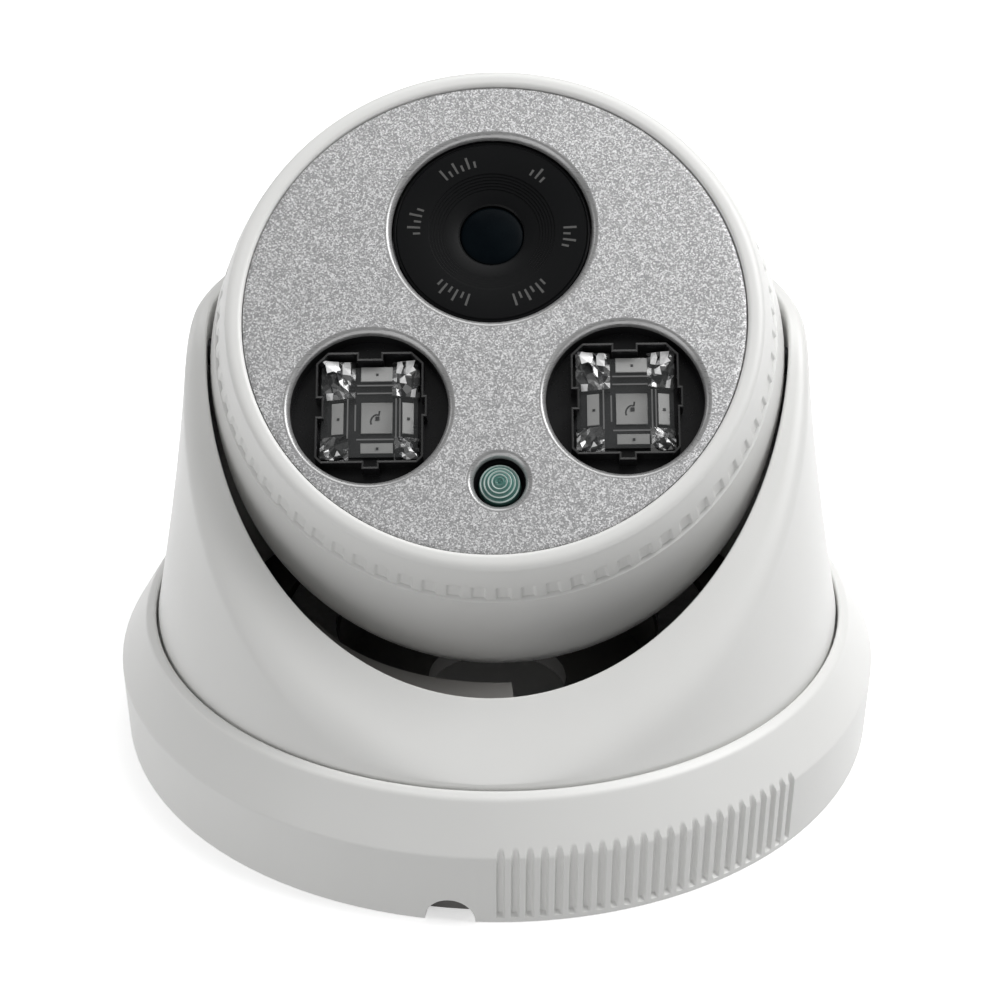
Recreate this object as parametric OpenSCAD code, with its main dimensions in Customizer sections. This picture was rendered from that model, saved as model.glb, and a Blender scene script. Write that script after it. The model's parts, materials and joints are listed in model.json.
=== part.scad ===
// Turret dome camera with a round base, a rotating bell housing and a tilting eyeball head.
// Origin: centre of the mounting face. +Z points away from the mounting surface,
// -Y is the side that the head looks towards.

/* [Base] */
// Radius of the base ring at its crease, the widest part of the camera
base_r = 59; // [58.8:0.1:60]
// Radius of the base ring where it meets the mounting surface
foot_r = 58.6; // [58.2:0.1:58.8]
// Height of the base ring's steep band
band_h = 11.5; // [11:0.1:12]
// Radius of the lip at the top of the base ring
lip_r = 54.6; // [54.3:0.1:54.8]
// Height of that lip
lip_z = 18.7; // [18.5:0.1:18.9]
// Wall thickness of the base ring
ring_wall = 2.2; // [2:0.1:2.3]
// Thickness of the base plate
plate_t = 3; // [2.5:0.1:3.2]
// Grip grooves in each of the two groups
groove_count = 24; // [4:1:28]
// Angle between grip grooves in degrees
groove_pitch = 2; // [1.6:0.1:2.2]
// Radius of the half-round cable notch in the base ring
notch_r = 3.6; // [3:0.1:4]
// Angle of the cable notch from the front, towards +X
notch_angle = -4.5; // [-9:0.5:-4]

/* [Mounting] */
// Diameter of the circle of the mounting screws
mount_pcd = 84; // [82:0.5:86]
// Radius of each mounting screw hole
mount_hole_r = 2.2; // [2:0.1:2.5]
// Radius of the cable hole through the base plate
cable_hole_r = 11; // [8:0.5:14]

/* [Turret] */
// Outer radius of the bell housing where it leaves the base ring
bell_low_r = 52.8; // [52.6:0.1:53]
// Outer radius of the bell housing at the top of its ears
bell_top_r = 45.9; // [45.7:0.1:46.2]
// Height of the ears
bell_top_z = 66; // [65:0.5:67]
// Inner radius of the opening that the head sits in
bell_bore_r = 43.2; // [43.1:0.1:43.4]
// Angle of the slanted front opening's normal above the horizontal
cut_tilt = 49; // [48:0.5:50]
// Distance from the head's centre to that slanted opening
cut_ahead = 4.2; // [4:0.1:5]

/* [Head] */
// Height of the head's centre, which the tilt axis passes through
ball_z = 60.1; // [60:0.1:61]
// Outer radius of the head's rear shell around the tilt axis
ball_r = 42.8; // [42.6:0.1:42.8]
// Radius of the shell's rounded chin
chin_r = 41.8; // [41.5:0.1:41.8]
// Angle of the lens axis above the horizontal at rest
head_tilt = 48.2; // [20:0.1:80]
// Turn of the face about the lens axis at rest
face_roll = 3.2; // [-20:0.1:20]
// Distance from the head's centre to the face plate's front
face_w = 16.3; // [16.2:0.1:16.5]
// Radius of the silver face plate
face_r = 36.2; // [36:0.1:36.3]
// Recesses around the grip edge of the front ring
grip_count = 72; // [12:1:80]

/* [Face openings] */
// Distance of the lens hole above the face's centre
lens_up = 13.5; // [13.3:0.1:13.7]
// Radius of the lens hole
lens_hole_r = 15.3; // [15:0.1:15.4]
// Sideways distance of each infrared hole from the face's centre
ir_side = 18.2; // [18.1:0.1:18.3]
// Distance of the infrared holes below the face's centre
ir_down = 13.6; // [13.5:0.1:13.7]
// Radius of each infrared hole
ir_hole_r = 12; // [11.5:0.1:12]
// Distance of the light sensor below the face's centre
sensor_down = 25.4; // [25.3:0.1:25.6]
// Radius of the light sensor's hole
sensor_hole_r = 4.4; // [4:0.1:4.5]
// Side of each square infrared array lens
ir_lens_side = 15.3; // [14:0.1:15.4]

/* [Hidden] */
$fn = 96;
eps = 0.01;

// Running and moving gaps
run_gap = 0.08;
move_gap = 0.4;

// Base plate and pan bearing
plate_r = 55.6;
collar_r = 30;
collar_in_r = 25;
shoulder_r = 37;
shoulder_z = 8;
washer_t = 0.7;
floor_z = shoulder_z + washer_t + move_gap;
floor_t = 2.7;
collar_z = floor_z + floor_t + move_gap;
washer_r = 36.5;
retainer_r = 33.5;
retainer_t = 1.8;
retainer_screw_r = 27.5;
wall_in_r = 52.8;
wall_z = 8.6;
bayonet_count = 3;
bayonet_z = 5.4;
bayonet_h = 1.6;
bayonet_half = 3;
twist_angle = 18;
groove_start = 2.5;
groove_cut_r = 0.6;
groove_z = 1.2;

// Screws
small_shank_r = 1.2;
small_bore_r = 1.3;
slot_w = 0.7;

// Turret housing
skirt_z = floor_z + floor_t;
flange_r = 54;
flange_z = 12.5;
flange_t = 2;
bell_z = lip_z + 0.95;
bell_curve = 1.3;
bell_steps = 12;
bell_wall = 2.4;
ear_round = 2.4;
bell_floor_r = 50.2;
boss_orbit_r = 47.6;
boss_r = 3;
boss_top_z = 22;
guard_z = 22;
guard_t = 1.6;
guard_in_r = 30.6;
guard_wall_r = 40.9;
guard_from = -62;
guard_to = 6;
strip_r = 42.86;
strip_seat_r = 43.9;
strip_z = 58;
strip_h = 6;
strip_half = 24;

// Tilt pivots
pivot_r = 2;
pivot_seat = 2;
pivot_head_r = 3.6;
pivot_head_t = 2;
pivot_boss_r = 5.5;
pivot_boss_x = 36;
pivot_head_x = pivot_boss_x - 0.5;

// Head: distances along the lens axis from the ball's centre are called w
shell_t = 2.2;
chin_down = 3.55;
chin_back = 1.87;
cone_r = 40.95;
cone_slope = 0.25;
seam_w = 9.4;
seam_gap = 0.35;
flange_w = 8;
skirt_r = 33.5;
skirt_in_r = 30.3;
skirt_w = 7.6;
web_w = 9.9;
web_t = 1.7;
front_ball_r = 42;
ledge_r = 35.3;
plate_w = face_w - 1.4;
front_w = face_w + 0.6;
front_round = 1.3;
board_w = web_w + web_t;
board_t = 1;
board_front_w = board_w + board_t;
collar_t = 1.2;
bevel = 0.7;
spreader_w = web_w - 0.2;
spreader_t = 1.5;
main_w = -4.6;
main_t = 1.6;
holder_low_w = main_w + main_t;
trim_r = 15.9;
trim_w = face_w - 1.6;
trim_steps = 6;
trim_step = 0.68;
trim_drop = 0.3;
trim_step_r = 9.2;
barrel_r = 6;
barrel_bore_r = 4.7;
barrel_w = 0.4;
barrel_top_w = 12.2;
barrel_top_r = 4.9;
glass_r = 4.6;
gasket_t = 0.9;
roll_screw_orbit = 31.9;
roll_retainer_t = 1.7;
cable_exit_r = 6;
grommet_r = 8;
led_side = 6.8;
led_t = 0.5;
led_shift = [0.7, -0.5];
array_lens_h = 2.9;
array_pocket = 8.4;
array_pocket_h = 0.9;
sensor_lens_r = 3.1;
standoff_xy = [[-15.6, -8], [15.6, -8], [-15.6, 21], [15.6, 21]];

// Outer radius of the bell at height z
function bell_r(z) = bell_top_r + (bell_low_r - bell_top_r)
    * pow(max(0, (bell_top_z - z) / (bell_top_z - bell_z)), bell_curve);
// Points of an arc in the profile plane
function arc(cx, cy, r, from, to, steps) =
    [for (i = [0:steps]) let (a = from + (to - from) * i / steps) [cx + r * cos(a), cy + r * sin(a)]];
// Radius of a sphere of radius r at distance w from its centre
function ball_at(r, w) = sqrt(r * r - w * w);

module in_head() {
    translate([0, 0, ball_z]) rotate([90 - head_tilt, 0, 0]) children();
}

module in_face() {
    in_head() rotate([0, 0, face_roll]) children();
}

module around(count, start = 0) {
    for (i = [0:count - 1]) rotate([0, 0, start + i * 360 / count]) children();
}

module ring(outer_r, inner_r, z, h) {
    translate([0, 0, z]) difference() {
        cylinder(h = h, r = outer_r);
        translate([0, 0, -1]) cylinder(h = h + 2, r = inner_r);
    }
}

module sector(outer_r, inner_r, z, h, from, to) {
    rotate([0, 0, from]) translate([0, 0, z])
        rotate_extrude(angle = to - from) translate([inner_r, 0]) square([outer_r - inner_r, h]);
}

// Pan-head screw that points along -Z, with the underside of its head at z = 0
module screw(shank_r, length, head_r, head_h) {
    difference() {
        union() {
            cylinder(h = head_h, r = head_r);
            translate([0, 0, -length]) cylinder(h = length + eps, r = shank_r);
        }
        for (turn = [0, 90]) rotate([0, 0, turn])
            translate([-head_r * 0.6, -slot_w / 2, head_h / 2]) cube([head_r * 1.2, slot_w, head_h]);
    }
}

// ---- base ----

module base_plate() {
    color("gainsboro") difference() {
        union() {
            cylinder(h = plate_t, r = plate_r);
            rotate_extrude() polygon([
                [collar_in_r, plate_t / 2], [shoulder_r, plate_t / 2], [shoulder_r, shoulder_z],
                [collar_r, shoulder_z], [collar_r, collar_z], [collar_in_r, collar_z]
            ]);
            ring(plate_r - 0.3, wall_in_r, plate_t / 2, wall_z - plate_t / 2);
        }
        translate([0, 0, -1]) cylinder(h = plate_t + 2, r = cable_hole_r);
        around(3, 30) translate([mount_pcd / 2, 0, -1]) cylinder(h = plate_t + 2, r = mount_hole_r);
        around(3, 90) translate([retainer_screw_r, 0, collar_z - 7]) cylinder(h = 8, r = small_shank_r);
        around(bayonet_count) bayonet_slot();
    }
}

// L-shaped slot in the base plate's wall: the level run, then the way out at the top
module bayonet_slot() {
    sector(plate_r + 1, wall_in_r - 1, bayonet_z - move_gap, bayonet_h + 2 * move_gap,
        -bayonet_half - 2, twist_angle + bayonet_half + 2.5);
    sector(plate_r + 2, wall_in_r - 2, bayonet_z, wall_z,
        twist_angle - bayonet_half - 2, twist_angle + bayonet_half + 2);
}

module pan_washer() {
    color("ivory") ring(washer_r, collar_r + 0.5, shoulder_z, washer_t);
}

module pan_retainer() {
    color("silver") difference() {
        ring(retainer_r, collar_in_r + 0.5, collar_z, retainer_t);
        around(3, 90) translate([retainer_screw_r, 0, collar_z - 1]) cylinder(h = 4, r = small_bore_r);
    }
}

module pan_retainer_screws() {
    color("silver") around(3, 90)
        translate([retainer_screw_r, 0, collar_z + retainer_t]) screw(small_shank_r, 6, 1.9, 1.4);
}

module base_ring_profile() {
    polygon(concat(
        [[foot_r - ring_wall, 0], [foot_r, 0], [base_r, band_h]],
        arc(lip_r - 0.6, lip_z - 0.3, 0.9, 35, 90, 5),
        [[lip_r - 1.3, lip_z + 0.55], [lip_r - 1.3, lip_z - 1.9],
         [base_r - ring_wall - 0.3, band_h - 0.4]]
    ));
}

module base_ring() {
    color("white") {
        difference() {
            rotate_extrude() base_ring_profile();
            for (side = [0, 180]) for (i = [0:groove_count - 1])
                rotate([0, 0, side + groove_start + i * groove_pitch])
                    translate([0, -base_r - 0.1, groove_z]) cylinder(h = 20, r = groove_cut_r);
            rotate([0, 0, notch_angle]) rotate([90, 0, 0])
                translate([0, 0, base_r - 5]) cylinder(h = 8, r = notch_r);
        }
        around(bayonet_count) bayonet_tab();
    }
}

module bayonet_tab() {
    sector(foot_r - ring_wall + 0.5, plate_r - 2, bayonet_z, bayonet_h, -bayonet_half, bayonet_half);
}

// ---- turret ----

module bell_profile() {
    polygon(concat(
        [[bell_bore_r, skirt_z], [bell_floor_r + 2.6, skirt_z], [bell_low_r, flange_z],
         [flange_r, flange_z], [flange_r, flange_z + flange_t], [bell_low_r, flange_z + flange_t]],
        [for (i = [0:bell_steps - 1])
            let (z = bell_z + (bell_top_z - ear_round - bell_z) * i / (bell_steps - 1)) [bell_r(z), z]],
        arc(bell_top_r - ear_round, bell_top_z - ear_round, ear_round, 15, 90, 6),
        [[bell_bore_r, bell_top_z]]
    ));
}

// Space between the bell's inner and outer skins
module bell_cavity() {
    rotate_extrude() polygon([
        [bell_bore_r + bell_wall, skirt_z - 1], [bell_floor_r, skirt_z - 1],
        [bell_floor_r, bell_z], [bell_r(26) - bell_wall, 26], [bell_r(40) - bell_wall, 40],
        [bell_bore_r + bell_wall, 42]
    ]);
}

// Everything in front of a plane that lies the given distance ahead of the head's centre
module ahead_of_cut(ahead) {
    translate([0, 0, ball_z]) rotate([90 - cut_tilt, 0, 0])
        translate([-90, -90, ahead]) cube([180, 180, 90]);
}

module turret_housing() {
    color("white") difference() {
        rotate_extrude() bell_profile();
        ahead_of_cut(cut_ahead);
        difference() {
            bell_cavity();
            ahead_of_cut(cut_ahead - bell_wall);
            around(4, 45) translate([boss_orbit_r, 0, skirt_z - 2])
                cylinder(h = boss_top_z - skirt_z + 2, r = boss_r);
        }
        around(4, 45) translate([boss_orbit_r, 0, skirt_z - 1]) cylinder(h = 8, r = small_shank_r);
        for (side = [-1, 1]) translate([side * (bell_bore_r - 1), 0, ball_z]) rotate([0, side * 90, 0])
            cylinder(h = 1 + pivot_seat, r = pivot_r);
        sector(strip_seat_r, bell_bore_r - 1, strip_z, strip_h, 90 - strip_half, 90 + strip_half);
    }
}

module turret_floor() {
    color("whitesmoke") difference() {
        union() {
            ring(bell_floor_r + 2.4, collar_r + run_gap, floor_z, floor_t);
            ring(36, 34, skirt_z - eps, 3);
        }
        around(4, 45) translate([boss_orbit_r, 0, 0]) cylinder(h = 20, r = 1.4);
        sector(42, 33.5, skirt_z, 4, -84, -56);
    }
}

module turret_screws() {
    color("silver") around(4, 45) translate([boss_orbit_r, 0, floor_z])
        rotate([180, 0, 0]) screw(small_shank_r, 9.5, 2.3, 1.2);
}

// C-shaped guard that keeps the cable away from the turning head
module cable_guard() {
    color("lightgray") {
        sector(bell_bore_r - 0.3, guard_in_r, guard_z - guard_t, guard_t, guard_from - 90, guard_to - 90);
        sector(bell_bore_r - 0.3, guard_wall_r, skirt_z, guard_z - skirt_z - 1,
            guard_from - 90, guard_to - 90);
    }
}

module tilt_friction_strip() {
    color("dimgray") sector(strip_seat_r, strip_r, strip_z, strip_h, 90 - strip_half, 90 + strip_half);
}

// Shouldered screw that carries one side of the head
module pivot_screw(side) {
    color("silver") translate([0, 0, ball_z]) rotate([0, side * 90, 0]) difference() {
        union() {
            translate([0, 0, pivot_head_x - pivot_head_t]) cylinder(h = pivot_head_t, r = pivot_head_r);
            translate([0, 0, pivot_head_x - eps])
                cylinder(h = bell_bore_r + pivot_seat - pivot_head_x + eps, r = pivot_r);
        }
        translate([-2.2, -slot_w / 2, pivot_head_x - pivot_head_t - 1]) cube([4.4, slot_w, 2]);
    }
}

module pivot_screw_left() {
    pivot_screw(-1);
}

module pivot_screw_right() {
    pivot_screw(1);
}

// ---- head ----

// Rear shell's form, inset from its outer face: a ball and a chin, trimmed by a cone at the front
module head_form(inset) {
    back_w = -ball_r - chin_back - chin_down;
    front_end_w = seam_w + 1;
    intersection() {
        union() {
            sphere(r = ball_r - inset);
            translate([0, -chin_down, -chin_back]) sphere(r = chin_r - inset);
        }
        translate([0, 0, back_w]) cylinder(h = front_end_w - back_w,
            r1 = cone_r - inset + cone_slope * (seam_w - back_w),
            r2 = cone_r - inset + cone_slope * (seam_w - front_end_w));
    }
}

module head_shell() {
    color("white") {
        difference() {
            union() {
                in_head() difference() {
                    head_form(0);
                    head_form(shell_t);
                }
                in_head() intersection() {
                    ring(ball_r, skirt_r + run_gap, flange_w, seam_w - flange_w);
                    head_form(0.5);
                }
                pivot_bosses();
            }
            in_head() translate([0, 0, seam_w]) cylinder(h = 60, r = 60);
            translate([-60, 0, ball_z]) rotate([0, 90, 0]) cylinder(h = 120, r = pivot_r + run_gap);
            in_head() translate([0, 0, -60]) cylinder(h = 40, r = cable_exit_r);
        }
    }
}

module pivot_bosses() {
    for (side = [-1, 1]) translate([0, 0, ball_z]) rotate([0, side * 90, 0])
        translate([0, 0, pivot_boss_x]) cylinder(h = ball_r - 1.2 - pivot_boss_x, r = pivot_boss_r);
}

module head_cable_grommet() {
    color("dimgray") in_head() difference() {
        union() {
            translate([0, 0, 0.1 - ball_at(ball_r - shell_t, grommet_r)]) cylinder(h = 1.6, r = grommet_r);
            translate([0, 0, -ball_r]) cylinder(h = shell_t + 2.4, r = cable_exit_r - 0.1);
        }
        translate([0, 0, -60]) cylinder(h = 60, r = 2.8);
    }
}

// ---- front unit, which turns about the lens axis ----

module front_ring_profile() {
    rear_w = seam_w + seam_gap;
    polygon(concat(
        [[skirt_in_r, skirt_w], [skirt_r, skirt_w], [skirt_r, web_w],
         [ball_at(front_ball_r, web_w) - 2.4, web_w], [ball_at(front_ball_r, rear_w) - 2.4, rear_w]],
        [for (i = [0:6]) let (w = rear_w + (face_w - 0.2 - rear_w) * i / 6) [ball_at(front_ball_r, w), w]],
        arc(ball_at(front_ball_r, face_w) - front_round - 0.1, front_w - front_round,
            front_round, 20, 90, 6),
        [[face_r + 0.5, front_w], [face_r + 0.1, front_w - 0.3], [face_r + 0.1, plate_w],
         [ledge_r, plate_w], [ledge_r, web_w + web_t], [skirt_in_r, web_w + web_t]]
    ));
}

module front_ring() {
    color("white") in_face() difference() {
        rotate_extrude() front_ring_profile();
        around(grip_count) translate([ball_at(front_ball_r, seam_w + 1.2) - 0.45, -0.75, seam_w - 1])
            cube([3, 1.5, 3.4]);
        around(3, 60) translate([roll_screw_orbit, 0, skirt_w - 1]) cylinder(h = 4.2, r = 0.9);
    }
}

module roll_retainer() {
    color("silver") in_face() difference() {
        ring(36, skirt_in_r + 0.2, skirt_w - roll_retainer_t, roll_retainer_t);
        around(3, 60) translate([roll_screw_orbit, 0, 0]) cylinder(h = 10, r = 1);
    }
}

module roll_retainer_screws() {
    color("silver") in_face() around(3, 60) translate([roll_screw_orbit, 0, skirt_w - roll_retainer_t])
        rotate([180, 0, 0]) screw(0.9, 4.6, 1.4, 1);
}

// Puts its child at the centre of each hole of the face plate, with the hole's radius in $hole_r
module at_face_holes() {
    translate([0, lens_up, 0]) {
        $hole_r = lens_hole_r;
        children();
    }
    for (side = [-1, 1]) translate([side * ir_side, -ir_down, 0]) {
        $hole_r = ir_hole_r;
        children();
    }
    translate([0, -sensor_down, 0]) {
        $hole_r = sensor_hole_r;
        children();
    }
}

module face_plate() {
    color("silver") in_face() difference() {
        union() {
            translate([0, 0, plate_w]) cylinder(h = face_w - plate_w, r = face_r);
            intersection() {
                at_face_holes() translate([0, 0, board_front_w])
                    cylinder(h = face_w - board_front_w, r = $hole_r + collar_t - bevel);
                cylinder(h = 30, r = ledge_r - gasket_t - 0.1);
            }
        }
        at_face_holes() cylinder(h = 30, r = $hole_r - bevel);
        at_face_holes() translate([0, 0, face_w - bevel])
            cylinder(h = 1 + bevel, r1 = $hole_r - bevel, r2 = $hole_r + 1);
    }
}

module face_gasket() {
    color("black") in_face() ring(ledge_r, ledge_r - gasket_t, board_front_w + 0.2, 1.2);
}

// Black trim around the lens, stepped down to the glass
module lens_trim() {
    color("black") in_face() translate([0, lens_up, 0]) rotate_extrude() polygon(concat(
        [[barrel_r + 0.1, 8], [9.4, 8], [9.4, board_w - 0.3], [trim_r, board_w - 0.2],
         [trim_r, board_front_w], [lens_hole_r - bevel - 0.1, board_front_w],
         [lens_hole_r - bevel - 0.1, trim_w]],
        [for (i = [0:trim_steps - 1]) each [
            [trim_step_r - i * trim_step, trim_w - i * trim_drop],
            [trim_step_r - i * trim_step, trim_w - (i + 1) * trim_drop]
        ]],
        [[barrel_top_r, trim_w - trim_steps * trim_drop], [barrel_top_r, barrel_top_w + 0.1],
         [barrel_r + 0.1, barrel_top_w + 0.1]]
    ));
}

module lens_barrel() {
    color("dimgray") in_face() translate([0, lens_up, 0])
        ring(barrel_r, barrel_bore_r, barrel_w, barrel_top_w - barrel_w);
}

module lens_element(w, h, crown) {
    dome_r = (glass_r * glass_r + crown * crown) / (2 * crown);
    color("midnightblue") in_face() translate([0, lens_up, w]) {
        cylinder(h = h, r = glass_r);
        intersection() {
            translate([0, 0, h + crown - dome_r]) sphere(r = dome_r);
            translate([0, 0, h - eps]) cylinder(h = crown + 1, r = glass_r);
        }
    }
}

module lens_front_element() {
    lens_element(barrel_top_w - 1.7, 1.4, 0.9);
}

module lens_rear_element() {
    lens_element(barrel_w + 1.2, 1.2, 0.6);
}

module lens_holder() {
    color("black") in_face() translate([0, lens_up, 0]) difference() {
        union() {
            translate([-12.5, -7.5, holder_low_w]) cube([25.6, 15, 4]);
            cylinder(h = 5.4, r = 8);
        }
        translate([0, 0, barrel_w]) cylinder(h = 8, r = barrel_r);
        translate([-4.6, -4.1, holder_low_w - 1]) cube([9.2, 8.2, 2.1]);
        translate([0, 0, -3]) cylinder(h = 4, r = 3);
        translate([-11, -3.9, -1.2]) cube([22.8, 7.8, 1.2]);
    }
}

// Sliding carrier with a day window and a night window
module day_night_filter() {
    color("teal") in_face() translate([0, lens_up, 0])
        translate([-3.6, -3.4, -0.85]) cube([14.4, 6.8, 0.5]);
}

module image_sensor() {
    color("darkslategray") in_face() translate([-4, lens_up - 3.6, holder_low_w]) cube([8, 7.2, 1]);
}

module main_board() {
    color("darkgreen") in_face() difference() {
        translate([-18, -12, main_w]) cube([36, 37, main_t]);
        for (p = standoff_xy) translate([p[0], p[1], main_w - 1]) cylinder(h = 4, r = 1.1);
    }
}

module processor_chip() {
    color("dimgray") in_face() translate([-6, 6, main_w - 1.4]) cube([12, 12, 1.4]);
}

module board_connector() {
    color("ivory") in_face() difference() {
        translate([-8, -10, main_w - 5]) cube([16, 6, 5]);
        translate([-7, -9, main_w - 6]) cube([14, 4, 4]);
    }
}

module board_standoffs() {
    color("goldenrod") in_face() for (p = standoff_xy)
        translate([p[0], p[1], 0]) ring(2.2, 1, main_w + main_t, spreader_w - main_w - main_t);
}

module board_screws() {
    color("silver") in_face() for (p = standoff_xy)
        translate([p[0], p[1], main_w]) rotate([180, 0, 0]) screw(1, 5, 1.9, 1.3);
}

module heat_spreader() {
    color("silver") in_face() difference() {
        translate([0, 0, spreader_w]) cylinder(h = spreader_t, r = skirt_in_r - 0.2);
        translate([0, lens_up, 0]) cylinder(h = 30, r = 9.8);
    }
}

module ir_board() {
    color("black") in_face() difference() {
        translate([0, 0, board_w]) cylinder(h = board_t, r = ledge_r - 0.2);
        translate([0, lens_up, 0]) cylinder(h = 30, r = trim_r + 0.1);
    }
}

module ir_led(side) {
    color("dimgray") in_face() translate([side * ir_side, -ir_down, board_front_w]) translate(led_shift) {
        translate([-led_side / 2, -led_side / 2, 0]) cube([led_side, led_side, led_t]);
        translate([-0.7, -0.7, led_t - eps]) cube([1.4, 1.4, 0.2]);
    }
}

module ir_led_left() {
    ir_led(-1);
}

module ir_led_right() {
    ir_led(1);
}

// Clear square lens with a pocket over the light source
module ir_lens(side) {
    half = ir_lens_side / 2;
    color("lightcyan") in_face() translate([side * ir_side, -ir_down, board_front_w]) difference() {
        translate([-half, -half, 0]) cube([ir_lens_side, ir_lens_side, array_lens_h]);
        translate(led_shift) translate([-array_pocket / 2, -array_pocket / 2, -1])
            cube([array_pocket, array_pocket, array_pocket_h + 1]);
    }
}

module ir_lens_left() {
    ir_lens(-1);
}

module ir_lens_right() {
    ir_lens(1);
}

module light_sensor() {
    color("tan") in_face() translate([0, -sensor_down, board_front_w]) cylinder(h = 0.8, r = 2.4);
}

module light_sensor_lens() {
    color("teal") in_face() translate([0, -sensor_down, board_front_w]) difference() {
        union() {
            cylinder(h = 1.4, r = sensor_hole_r - bevel - 0.1);
            intersection() {
                translate([0, 0, 0.2]) sphere(r = sensor_lens_r);
                cylinder(h = 5, r = sensor_lens_r);
            }
        }
        translate([0, 0, -1]) cylinder(h = 1.9, r = 2.5);
    }
}

base_plate();
pan_washer();
pan_retainer();
pan_retainer_screws();
base_ring();
turret_housing();
turret_floor();
turret_screws();
cable_guard();
tilt_friction_strip();
pivot_screw_left();
pivot_screw_right();
head_shell();
head_cable_grommet();
front_ring();
roll_retainer();
roll_retainer_screws();
face_plate();
face_gasket();
lens_trim();
lens_barrel();
lens_front_element();
lens_rear_element();
lens_holder();
day_night_filter();
image_sensor();
main_board();
processor_chip();
board_connector();
board_standoffs();
board_screws();
heat_spreader();
ir_board();
ir_led_left();
ir_led_right();
ir_lens_left();
ir_lens_right();
light_sensor();
light_sensor_lens();
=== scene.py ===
"""The looks of the turret dome camera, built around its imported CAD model.

Lengths are in millimetres until a mesh is made, and MM turns them into metres. Heights are above the
mounting face. Along the lens axis, lengths called w start at the head's centre. Angles called azimuth
start at the front, the -Y side, and grow towards +X.
"""
import json
import math
import random

import bmesh
import bpy
from mathutils import Matrix, Vector


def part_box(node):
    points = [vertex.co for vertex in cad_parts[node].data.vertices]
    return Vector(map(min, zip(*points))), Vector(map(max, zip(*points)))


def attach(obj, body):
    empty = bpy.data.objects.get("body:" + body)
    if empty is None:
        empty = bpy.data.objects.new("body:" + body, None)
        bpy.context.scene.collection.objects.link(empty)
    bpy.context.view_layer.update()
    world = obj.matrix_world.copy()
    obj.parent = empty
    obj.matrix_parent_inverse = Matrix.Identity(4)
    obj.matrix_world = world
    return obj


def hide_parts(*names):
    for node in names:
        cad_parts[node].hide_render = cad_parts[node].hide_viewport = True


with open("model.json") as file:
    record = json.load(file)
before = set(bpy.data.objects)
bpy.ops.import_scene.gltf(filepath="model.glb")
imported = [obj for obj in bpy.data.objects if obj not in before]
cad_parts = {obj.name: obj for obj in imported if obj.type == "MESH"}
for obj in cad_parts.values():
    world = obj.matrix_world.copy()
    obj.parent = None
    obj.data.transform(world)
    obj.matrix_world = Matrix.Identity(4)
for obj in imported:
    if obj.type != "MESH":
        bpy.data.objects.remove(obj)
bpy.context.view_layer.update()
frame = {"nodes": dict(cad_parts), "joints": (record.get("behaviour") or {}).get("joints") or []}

MM = 0.001
TAU = 2 * math.pi
SHARP = math.radians(32)

joints = {joint["name"]: joint for joint in frame["joints"]}
nodes = frame["nodes"]

# ---- places taken from the frame ----

BALL = Vector(joints["tilt"]["pos_m"])
LENS_AXIS = Vector(joints["roll"]["axis"]).normalized()
FACE_X = Vector(joints["filter_shift"]["axis"]).normalized()
FACE_Y = LENS_AXIS.cross(FACE_X)
BASE_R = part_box("base_ring")[1].y / MM
BALL_Z = BALL.z / MM


def axes_place(x_axis, y_axis, z_axis, origin):
    """Matrix that puts a shape's own axes along the given ones."""
    place = Matrix((x_axis, y_axis, z_axis)).transposed().to_4x4()
    place.translation = origin
    return place


FACE = axes_place(FACE_X, FACE_Y, LENS_AXIS, BALL)
SIDEWAYS = Vector((1, 0, 0))
HEAD = axes_place(SIDEWAYS, LENS_AXIS.cross(SIDEWAYS), LENS_AXIS, BALL)
STAND = Matrix.Identity(4)

# ---- sizes of the base ring; groove angles and NOTCH_AT are in degrees ----

BAND_H = 11.5
FOOT_R = 58.6
LIP_R = 54.6
LIP_W = 1.3
LIP_Z = 18.7
RING_WALL = 2.2
RING_MESH = 0.3
GROOVES = 24
GROOVE_START = 2.5
GROOVE_PITCH = 2.0
GROOVE_COLUMN = 0.1
GROOVE_HALF = 0.62
GROOVE_DEPTH = 0.7
GROOVE_EDGE = 0.06
GROOVE_LOW = 1.2
GROOVE_END = 0.3
NOTCH_R = 3.6
NOTCH_AT = -4.5
NOTCH_COLUMNS = 16

# ---- sizes of the turret housing ----

BELL_LOW_R = 52.8
BELL_TOP_R = 45.9
BELL_TOP_Z = 66.0
BELL_Z = 19.65
BELL_BORE = 43.2
BELL_CURVE = 1.3
CUT_TILT = math.radians(49)
CUT_AHEAD = 4.2
CUT_BLEND = 5.0
BORE_ROUND = 0.45
BORE_ROUND_DOWN = 0.5
EDGE_REACH = 1.6
EDGE_REACH_FRONT = 1.6
EDGE_DROP = 2.2
EDGE_DROP_FRONT = 1.2
HOUSING_FOOT = 12.5
FLANGE_R = 54.0
FLANGE_TOP = 14.5
CHANNEL_OUT = 50.4
CHANNEL_IN = 46.0
CHANNEL_TOP = 17.0

# ---- sizes of the head's rear shell and front ring ----

SHELL_R = 42.8
SHELL_T = 2.2
SHELL_BLEND = 0.5
CHIN_R = 41.8
CHIN_DOWN = 3.55
CHIN_BACK = 1.87
CONE_R = 40.95
CONE_SLOPE = 0.25
CONE_BLEND = 0.4
CONE_FACING = 0.2
CABLE_EXIT_R = 6.0
SEAM_W = 9.4
SEAM_GAP = 0.35
SEAM_TURN = 0.006
SEAM_BEVEL = 0.3
FRONT_R = 42.0
FRONT_WALL = 2.4
FRONT_PROUD = 0.6
FRONT_ROUND = 1.3
FACE_W = 16.3
PLATE_R = 36.2
PLATE_T = 1.4
PLATE_GAP = 0.12
PLATE_ROUND = 0.25
LEDGE_R = 35.3
WEB_W = 9.9
WEB_T = 1.7
HUB_IN = 30.3
HUB_OUT = 33.5
HUB_W = 7.6
GRIPS = 72
GRIP_H = 3.3
GRIP_HALF = 1.15
GRIP_SIDE = 0.4
GRIP_TOP = 0.5
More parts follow.
